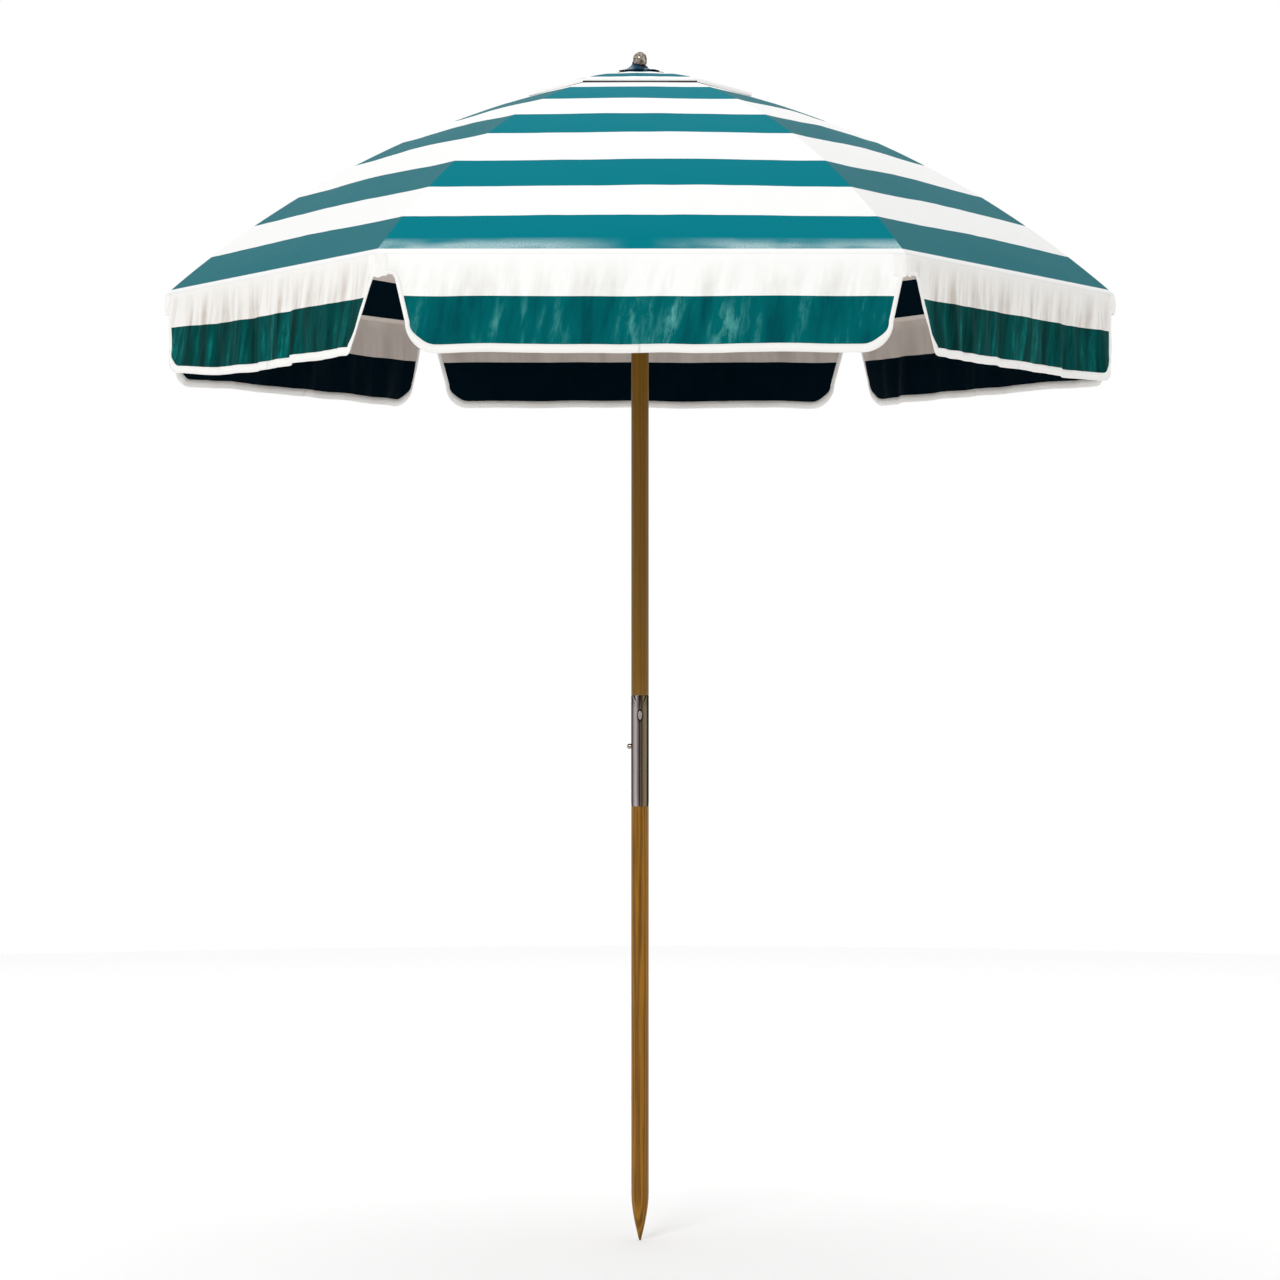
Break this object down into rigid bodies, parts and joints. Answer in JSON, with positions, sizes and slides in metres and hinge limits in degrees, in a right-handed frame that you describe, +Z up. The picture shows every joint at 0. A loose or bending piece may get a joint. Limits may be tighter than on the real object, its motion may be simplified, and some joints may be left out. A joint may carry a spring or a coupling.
{
  "type": "beach umbrella",
  "caption": "Striped beach umbrella on a two-piece wooden pole with a pointed end. A sliding runner folds its ribs and cloth canopy, which has a vent cap and a hanging valance.",
  "frame": {"origin": "the point of the pole's lower end, which goes into the sand", "axes": "+Z up along the pole; a rib lies over +X and the middle of a gore over -Y"},
  "size_m": [2.0648, 1.7882, 2.584],
  "materials": {
    "pole_wood_light": "satin",
    "pole_wood_dark": "satin",
    "steel": "satin",
    "chrome": "polished",
    "hub_nylon": "satin",
    "rod_steel": "satin",
    "cone_cloth": "matte",
    "canopy_cloth": "matte",
    "vent_cloth": "matte",
    "valance_cloth": "matte"
  },
  "bodies": {
    "lower_pole": {"lower_pole": "pole_wood_light", "spigot_tube": "steel", "button_clip": "steel"},
    "upper_pole": {"upper_pole": "pole_wood_dark", "joint_sleeve": "steel", "sleeve_rivet": "steel", "crown": "hub_nylon", "crown_pin": "steel", "crown_hinge_wire": "rod_steel", "finial_washer": "steel", "finial": "chrome", "apex_cone": "cone_cloth", "vent_cap": "vent_cloth"},
    "snap_button": {"snap_button": "chrome"},
    "runner_catch": {"runner_catch": "steel"},
    "runner": {"runner": "hub_nylon"},
    "rib_1": {"rib_1": "rod_steel"},
    "stretcher_1": {"stretcher_1": "rod_steel"},
    "corner_1": {"valance_corner_1": "valance_cloth"},
    "gore_1_left": {"gore_1_left": "canopy_cloth"},
    "gore_6_right": {"gore_6_right": "canopy_cloth"},
    "valance_1_left": {"valance_1_left": "valance_cloth"},
    "valance_6_right": {"valance_6_right": "valance_cloth"},
    "rib_2": {"rib_2": "rod_steel"},
    "stretcher_2": {"stretcher_2": "rod_steel"},
    "corner_2": {"valance_corner_2": "valance_cloth"},
    "gore_2_left": {"gore_2_left": "canopy_cloth"},
    "gore_1_right": {"gore_1_right": "canopy_cloth"},
    "valance_2_left": {"valance_2_left": "valance_cloth"},
    "valance_1_right": {"valance_1_right": "valance_cloth"},
    "rib_3": {"rib_3": "rod_steel"},
    "stretcher_3": {"stretcher_3": "rod_steel"},
    "corner_3": {"valance_corner_3": "valance_cloth"},
    "gore_3_left": {"gore_3_left": "canopy_cloth"},
    "gore_2_right": {"gore_2_right": "canopy_cloth"},
    "valance_3_left": {"valance_3_left": "valance_cloth"},
    "valance_2_right": {"valance_2_right": "valance_cloth"},
    "rib_4": {"rib_4": "rod_steel"},
    "stretcher_4": {"stretcher_4": "rod_steel"},
    "corner_4": {"valance_corner_4": "valance_cloth"},
    "gore_4_left": {"gore_4_left": "canopy_cloth"},
    "gore_3_right": {"gore_3_right": "canopy_cloth"},
    "valance_4_left": {"valance_4_left": "valance_cloth"},
    "valance_3_right": {"valance_3_right": "valance_cloth"},
    "rib_5": {"rib_5": "rod_steel"},
    "stretcher_5": {"stretcher_5": "rod_steel"},
    "corner_5": {"valance_corner_5": "valance_cloth"},
    "gore_5_left": {"gore_5_left": "canopy_cloth"},
    "gore_4_right": {"gore_4_right": "canopy_cloth"},
    "valance_5_left": {"valance_5_left": "valance_cloth"},
    "valance_4_right": {"valance_4_right": "valance_cloth"},
    "rib_6": {"rib_6": "rod_steel"},
    "stretcher_6": {"stretcher_6": "rod_steel"},
    "corner_6": {"valance_corner_6": "valance_cloth"},
    "gore_6_left": {"gore_6_left": "canopy_cloth"},
    "gore_5_right": {"gore_5_right": "canopy_cloth"},
    "valance_6_left": {"valance_6_left": "valance_cloth"},
    "valance_5_right": {"valance_5_right": "valance_cloth"}
  },
  "joints": [
    {"name": "pole_lift", "type": "slide", "parent": "lower_pole", "child": "upper_pole", "axis": [0, 0, 1], "range_m": [0, 0.175], "deforming": ["button_clip", "snap_button"]},
    {"name": "button_press", "type": "slide", "parent": "lower_pole", "child": "snap_button", "axis": [1, 0, 0], "range_m": [0, 0.0085], "stiffness_N_per_m": 900},
    {"name": "runner_slide", "type": "slide", "parent": "upper_pole", "child": "runner", "axis": [0, 0, -1], "range_m": [0, 0.64658], "deforming": ["vent_cap", "runner_catch", "gore_1_left", "gore_1_right", "gore_2_left", "gore_2_right", "gore_3_left", "gore_3_right", "gore_4_left", "gore_4_right", "gore_5_left", "gore_5_right", "gore_6_left", "gore_6_right", "valance_1_left", "valance_1_right", "valance_2_left", "valance_2_right", "valance_3_left", "valance_3_right", "valance_4_left", "valance_4_right", "valance_5_left", "valance_5_right", "valance_6_left", "valance_6_right", "valance_corner_1", "valance_corner_2", "valance_corner_3", "valance_corner_4", "valance_corner_5", "valance_corner_6"]},
    {"name": "catch_press", "type": "slide", "parent": "upper_pole", "child": "runner_catch", "axis": [-1, 0, 0], "range_m": [0, 0.0064], "stiffness_N_per_m": 900},
    {"name": "rib_1_fold", "type": "hinge", "parent": "upper_pole", "child": "rib_1", "pos_m": [0.028, 0, 2.53], "axis": [0, 1, 0], "range_deg": [0, 61.02]},
    {"name": "stretcher_1_fold", "type": "hinge", "parent": "rib_1", "child": "stretcher_1", "pos_m": [0.48334, 0, 2.38449], "axis": [0, 1, 0], "range_deg": [-122.02, 0]},
    {"name": "gore_1_left_fold", "type": "hinge", "parent": "rib_1", "child": "gore_1_left", "pos_m": [0.028, 0, 2.53], "axis": [-0.7707, -0.4471, -0.454], "range_deg": [0, 29.42]},
    {"name": "gore_6_right_fold", "type": "hinge", "parent": "rib_1", "child": "gore_6_right", "pos_m": [0.028, 0, 2.53], "axis": [0.7707, -0.4471, 0.454], "range_deg": [0, 29.42]},
    {"name": "corner_1_hang", "type": "hinge", "parent": "rib_1", "child": "corner_1", "pos_m": [1.03, 0, 2.05912], "axis": [0, 1, 0], "range_deg": [-61.02, 0]},
    {"name": "valance_1_left_gather", "type": "slide", "parent": "corner_1", "child": "valance_1_left", "axis": [0.5944, -0.7612, 0.2594], "range_m": [0, 0.4854]},
    {"name": "valance_6_right_gather", "type": "slide", "parent": "corner_1", "child": "valance_6_right", "axis": [0.5944, 0.7612, 0.2594], "range_m": [0, 0.4854]},
    {"name": "rib_2_fold", "type": "hinge", "parent": "upper_pole", "child": "rib_2", "pos_m": [0.014, 0.02425, 2.53], "axis": [-0.866, 0.5, 0], "range_deg": [0, 61.02]},
    {"name": "stretcher_2_fold", "type": "hinge", "parent": "rib_2", "child": "stretcher_2", "pos_m": [0.24167, 0.41859, 2.38449], "axis": [-0.866, 0.5, 0], "range_deg": [-122.02, 0]},
    {"name": "gore_2_left_fold", "type": "hinge", "parent": "rib_2", "child": "gore_2_left", "pos_m": [0.014, 0.02425, 2.53], "axis": [0.0018, -0.891, -0.454], "range_deg": [0, 29.42]},
    {"name": "gore_1_right_fold", "type": "hinge", "parent": "rib_2", "child": "gore_1_right", "pos_m": [0.014, 0.02425, 2.53], "axis": [0.7725, 0.4439, 0.454], "range_deg": [0, 29.42]},
    {"name": "corner_2_hang", "type": "hinge", "parent": "rib_2", "child": "corner_2", "pos_m": [0.515, 0.89201, 2.05912], "axis": [-0.866, 0.5, 0], "range_deg": [-61.02, 0]},
    {"name": "valance_2_left_gather", "type": "slide", "parent": "corner_2", "child": "valance_2_left", "axis": [0.9564, 0.1341, 0.2594], "range_m": [0, 0.4854]},
    {"name": "valance_1_right_gather", "type": "slide", "parent": "corner_2", "child": "valance_1_right", "axis": [-0.3621, 0.8953, 0.2594], "range_m": [0, 0.4854]},
    {"name": "rib_3_fold", "type": "hinge", "parent": "upper_pole", "child": "rib_3", "pos_m": [-0.014, 0.02425, 2.53], "axis": [-0.866, -0.5, 0], "range_deg": [0, 61.02]},
    {"name": "stretcher_3_fold", "type": "hinge", "parent": "rib_3", "child": "stretcher_3", "pos_m": [-0.24167, 0.41859, 2.38449], "axis": [-0.866, -0.5, 0], "range_deg": [-122.02, 0]},
    {"name": "gore_3_left_fold", "type": "hinge", "parent": "rib_3", "child": "gore_3_left", "pos_m": [-0.014, 0.02425, 2.53], "axis": [0.7725, -0.4439, -0.454], "range_deg": [0, 29.42]},
    {"name": "gore_2_right_fold", "type": "hinge", "parent": "rib_3", "child": "gore_2_right", "pos_m": [-0.014, 0.02425, 2.53], "axis": [0.0018, 0.891, 0.454], "range_deg": [0, 29.42]},
    {"name": "corner_3_hang", "type": "hinge", "parent": "rib_3", "child": "corner_3", "pos_m": [-0.515, 0.89201, 2.05912], "axis": [-0.866, -0.5, 0], "range_deg": [-61.02, 0]},
    {"name": "valance_3_left_gather", "type": "slide", "parent": "corner_3", "child": "valance_3_left", "axis": [0.3621, 0.8953, 0.2594], "range_m": [0, 0.4854]},
    {"name": "valance_2_right_gather", "type": "slide", "parent": "corner_3", "child": "valance_2_right", "axis": [-0.9564, 0.1341, 0.2594], "range_m": [0, 0.4854]},
    {"name": "rib_4_fold", "type": "hinge", "parent": "upper_pole", "child": "rib_4", "pos_m": [-0.028, 0, 2.53], "axis": [0, -1, 0], "range_deg": [0, 61.02]},
    {"name": "stretcher_4_fold", "type": "hinge", "parent": "rib_4", "child": "stretcher_4", "pos_m": [-0.48334, 0, 2.38449], "axis": [0, -1, 0], "range_deg": [-122.02, 0]},
    {"name": "gore_4_left_fold", "type": "hinge", "parent": "rib_4", "child": "gore_4_left", "pos_m": [-0.028, 0, 2.53], "axis": [0.7707, 0.4471, -0.454], "range_deg": [0, 29.42]},
    {"name": "gore_3_right_fold", "type": "hinge", "parent": "rib_4", "child": "gore_3_right", "pos_m": [-0.028, 0, 2.53], "axis": [-0.7707, 0.4471, 0.454], "range_deg": [0, 29.42]},
    {"name": "corner_4_hang", "type": "hinge", "parent": "rib_4", "child": "corner_4", "pos_m": [-1.03, 0, 2.05912], "axis": [0, -1, 0], "range_deg": [-61.02, 0]},
    {"name": "valance_4_left_gather", "type": "slide", "parent": "corner_4", "child": "valance_4_left", "axis": [-0.5944, 0.7612, 0.2594], "range_m": [0, 0.4854]},
    {"name": "valance_3_right_gather", "type": "slide", "parent": "corner_4", "child": "valance_3_right", "axis": [-0.5944, -0.7612, 0.2594], "range_m": [0, 0.4854]},
    {"name": "rib_5_fold", "type": "hinge", "parent": "upper_pole", "child": "rib_5", "pos_m": [-0.014, -0.02425, 2.53], "axis": [0.866, -0.5, 0], "range_deg": [0, 61.02]},
    {"name": "stretcher_5_fold", "type": "hinge", "parent": "rib_5", "child": "stretcher_5", "pos_m": [-0.24167, -0.41859, 2.38449], "axis": [0.866, -0.5, 0], "range_deg": [-122.02, 0]},
    {"name": "gore_5_left_fold", "type": "hinge", "parent": "rib_5", "child": "gore_5_left", "pos_m": [-0.014, -0.02425, 2.53], "axis": [-0.0018, 0.891, -0.454], "range_deg": [0, 29.42]},
    {"name": "gore_4_right_fold", "type": "hinge", "parent": "rib_5", "child": "gore_4_right", "pos_m": [-0.014, -0.02425, 2.53], "axis": [-0.7725, -0.4439, 0.454], "range_deg": [0, 29.42]},
    {"name": "corner_5_hang", "type": "hinge", "parent": "rib_5", "child": "corner_5", "pos_m": [-0.515, -0.89201, 2.05912], "axis": [0.866, -0.5, 0], "range_deg": [-61.02, 0]},
    {"name": "valance_5_left_gather", "type": "slide", "parent": "corner_5", "child": "valance_5_left", "axis": [-0.9564, -0.1341, 0.2594], "range_m": [0, 0.4854]},
    {"name": "valance_4_right_gather", "type": "slide", "parent": "corner_5", "child": "valance_4_right", "axis": [0.3621, -0.8953, 0.2594], "range_m": [0, 0.4854]},
    {"name": "rib_6_fold", "type": "hinge", "parent": "upper_pole", "child": "rib_6", "pos_m": [0.014, -0.02425, 2.53], "axis": [0.866, 0.5, 0], "range_deg": [0, 61.02]},
    {"name": "stretcher_6_fold", "type": "hinge", "parent": "rib_6", "child": "stretcher_6", "pos_m": [0.24167, -0.41859, 2.38449], "axis": [0.866, 0.5, 0], "range_deg": [-122.02, 0]},
    {"name": "gore_6_left_fold", "type": "hinge", "parent": "rib_6", "child": "gore_6_left", "pos_m": [0.014, -0.02425, 2.53], "axis": [-0.7725, 0.4439, -0.454], "range_deg": [0, 29.42]},
    {"name": "gore_5_right_fold", "type": "hinge", "parent": "rib_6", "child": "gore_5_right", "pos_m": [0.014, -0.02425, 2.53], "axis": [-0.0018, -0.891, 0.454], "range_deg": [0, 29.42]},
    {"name": "corner_6_hang", "type": "hinge", "parent": "rib_6", "child": "corner_6", "pos_m": [0.515, -0.89201, 2.05912], "axis": [0.866, 0.5, 0], "range_deg": [-61.02, 0]},
    {"name": "valance_6_left_gather", "type": "slide", "parent": "corner_6", "child": "valance_6_left", "axis": [-0.3621, -0.8953, 0.2594], "range_m": [0, 0.4854]},
    {"name": "valance_5_right_gather", "type": "slide", "parent": "corner_6", "child": "valance_5_right", "axis": [0.9564, -0.1341, 0.2594], "range_m": [0, 0.4854]}
  ],
  "couplings": [
    {"joint": "rib_1_fold", "follows": "runner_slide", "rad_per_m": 1.6466},
    {"joint": "stretcher_1_fold", "follows": "runner_slide", "rad_per_m": -3.2932},
    {"joint": "gore_1_left_fold", "follows": "runner_slide", "rad_per_m": 0.79364},
    {"joint": "gore_6_right_fold", "follows": "runner_slide", "rad_per_m": 0.79364},
    {"joint": "corner_1_hang", "follows": "runner_slide", "rad_per_m": -1.6466},
    {"joint": "valance_1_left_gather", "follows": "runner_slide", "ratio": 0.75038},
    {"joint": "valance_6_right_gather", "follows": "runner_slide", "ratio": 0.75038},
    {"joint": "rib_2_fold", "follows": "runner_slide", "rad_per_m": 1.6466},
    {"joint": "stretcher_2_fold", "follows": "runner_slide", "rad_per_m": -3.2932},
    {"joint": "gore_2_left_fold", "follows": "runner_slide", "rad_per_m": 0.79364},
    {"joint": "gore_1_right_fold", "follows": "runner_slide", "rad_per_m": 0.79364},
    {"joint": "corner_2_hang", "follows": "runner_slide", "rad_per_m": -1.6466},
    {"joint": "valance_2_left_gather", "follows": "runner_slide", "ratio": 0.75038},
    {"joint": "valance_1_right_gather", "follows": "runner_slide", "ratio": 0.75038},
    {"joint": "rib_3_fold", "follows": "runner_slide", "rad_per_m": 1.6466},
    {"joint": "stretcher_3_fold", "follows": "runner_slide", "rad_per_m": -3.2932},
    {"joint": "gore_3_left_fold", "follows": "runner_slide", "rad_per_m": 0.79364},
    {"joint": "gore_2_right_fold", "follows": "runner_slide", "rad_per_m": 0.79364},
    {"joint": "corner_3_hang", "follows": "runner_slide", "rad_per_m": -1.6466},
    {"joint": "valance_3_left_gather", "follows": "runner_slide", "ratio": 0.75038},
    {"joint": "valance_2_right_gather", "follows": "runner_slide", "ratio": 0.75038},
    {"joint": "rib_4_fold", "follows": "runner_slide", "rad_per_m": 1.6466},
    {"joint": "stretcher_4_fold", "follows": "runner_slide", "rad_per_m": -3.2932},
    {"joint": "gore_4_left_fold", "follows": "runner_slide", "rad_per_m": 0.79364},
    {"joint": "gore_3_right_fold", "follows": "runner_slide", "rad_per_m": 0.79364},
    {"joint": "corner_4_hang", "follows": "runner_slide", "rad_per_m": -1.6466},
    {"joint": "valance_4_left_gather", "follows": "runner_slide", "ratio": 0.75038},
    {"joint": "valance_3_right_gather", "follows": "runner_slide", "ratio": 0.75038},
    {"joint": "rib_5_fold", "follows": "runner_slide", "rad_per_m": 1.6466},
    {"joint": "stretcher_5_fold", "follows": "runner_slide", "rad_per_m": -3.2932},
    {"joint": "gore_5_left_fold", "follows": "runner_slide", "rad_per_m": 0.79364},
    {"joint": "gore_4_right_fold", "follows": "runner_slide", "rad_per_m": 0.79364},
    {"joint": "corner_5_hang", "follows": "runner_slide", "rad_per_m": -1.6466},
    {"joint": "valance_5_left_gather", "follows": "runner_slide", "ratio": 0.75038},
    {"joint": "valance_4_right_gather", "follows": "runner_slide", "ratio": 0.75038},
    {"joint": "rib_6_fold", "follows": "runner_slide", "rad_per_m": 1.6466},
    {"joint": "stretcher_6_fold", "follows": "runner_slide", "rad_per_m": -3.2932},
    {"joint": "gore_6_left_fold", "follows": "runner_slide", "rad_per_m": 0.79364},
    {"joint": "gore_5_right_fold", "follows": "runner_slide", "rad_per_m": 0.79364},
    {"joint": "corner_6_hang", "follows": "runner_slide", "rad_per_m": -1.6466},
    {"joint": "valance_6_left_gather", "follows": "runner_slide", "ratio": 0.75038},
    {"joint": "valance_5_right_gather", "follows": "runner_slide", "ratio": 0.75038}
  ]
}
